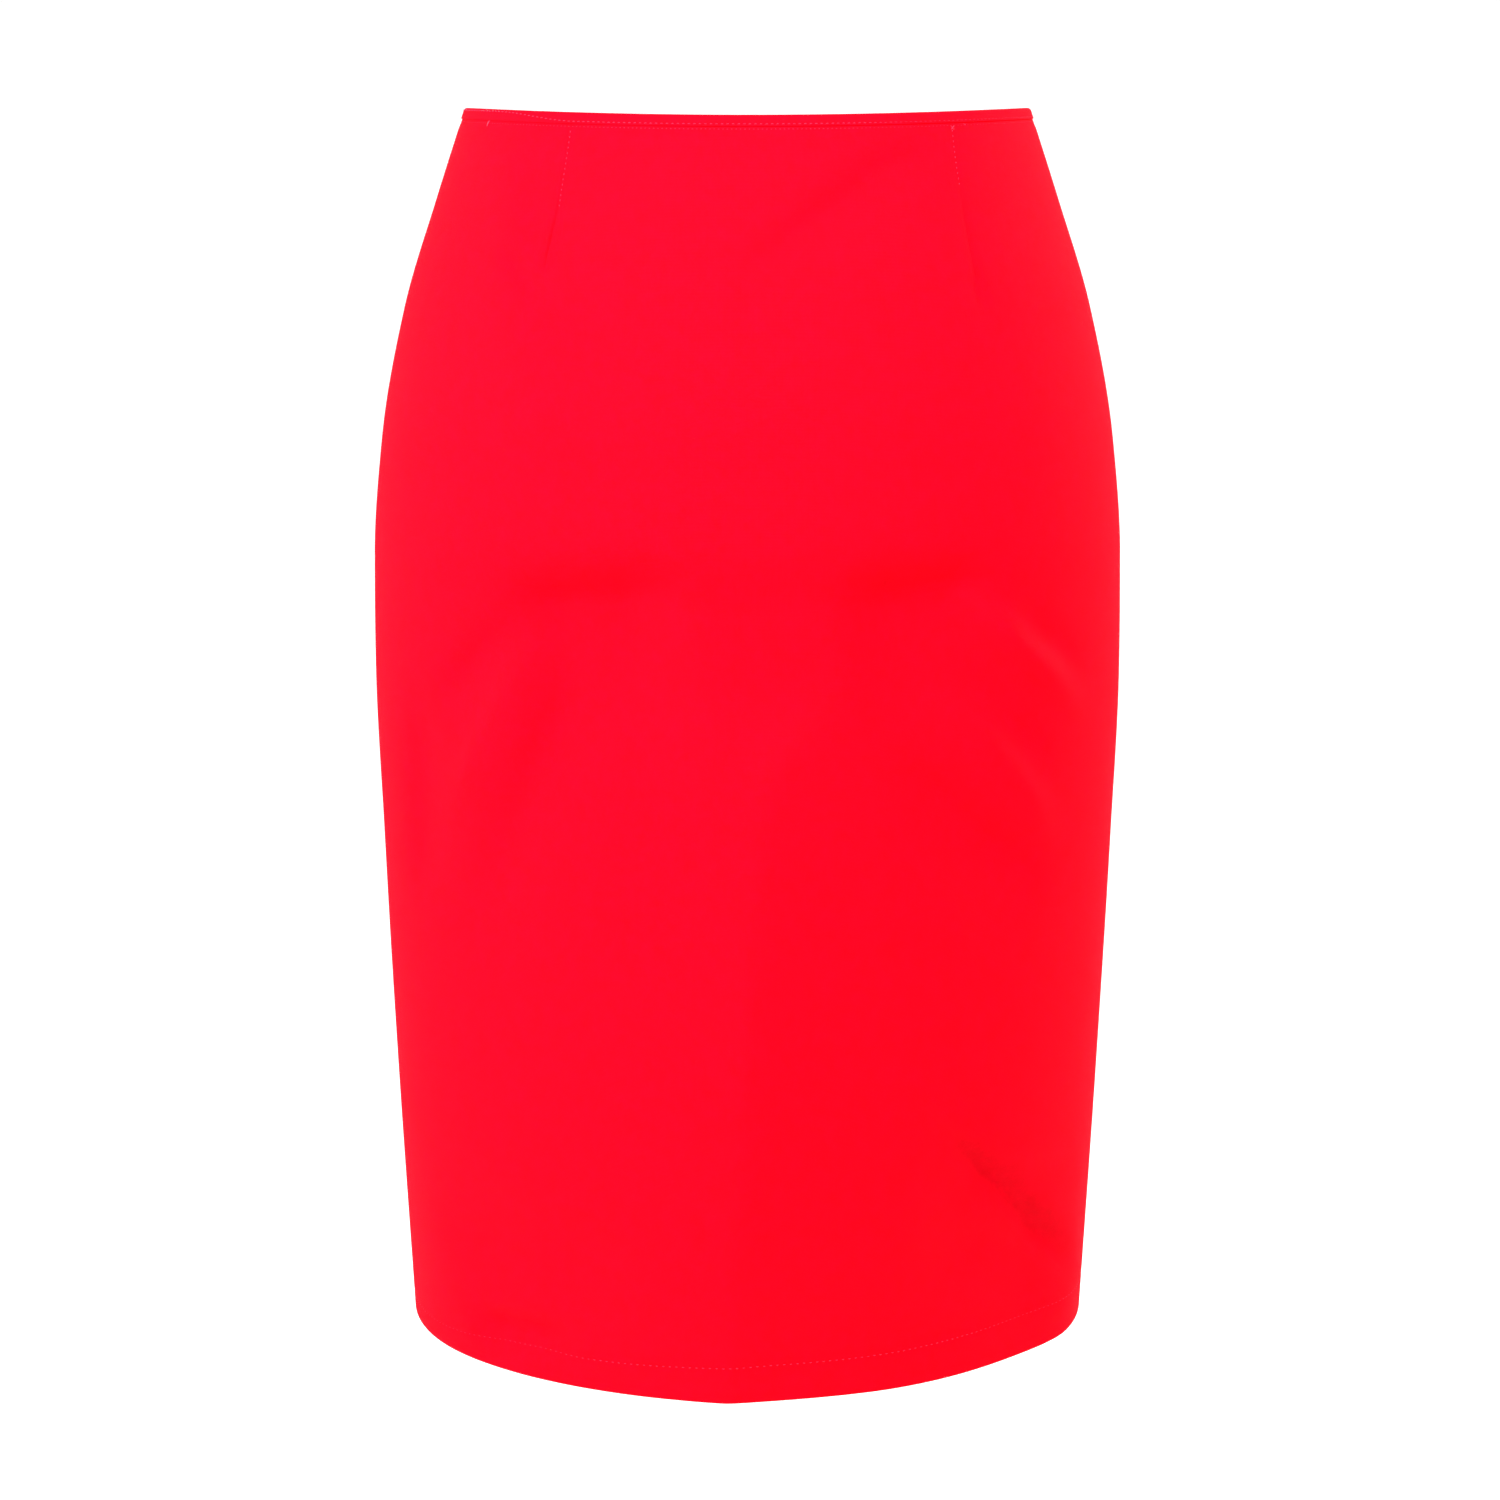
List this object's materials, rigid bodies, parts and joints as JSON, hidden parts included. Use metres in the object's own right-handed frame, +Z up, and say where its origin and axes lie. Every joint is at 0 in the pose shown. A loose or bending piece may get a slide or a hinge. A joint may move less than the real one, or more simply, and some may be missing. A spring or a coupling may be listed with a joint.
{
  "type": "pencil skirt",
  "caption": "Knee-length fitted skirt in stretch cloth, filled out as worn, with waist darts, side seams, a narrow waist binding and a stitched hem.",
  "frame": {"origin": "middle of the waist opening, level with its edge at the side seams, where a waist holds the skirt", "axes": "+Z up, +X to the wearer's right, +Y to the wearer's front; the back, with the pictured darts, faces -Y"},
  "size_m": [0.3534, 0.2532, 0.58],
  "materials": {
    "cloth": "smooth dense stretch knit, matte with a soft sheen",
    "binding": "strip of the same smooth knit, folded and topstitched"
  },
  "bodies": {
    "root": {"back_panel": "cloth", "front_panel": "cloth", "waist_binding": "binding"}
  },
  "joints": []
}
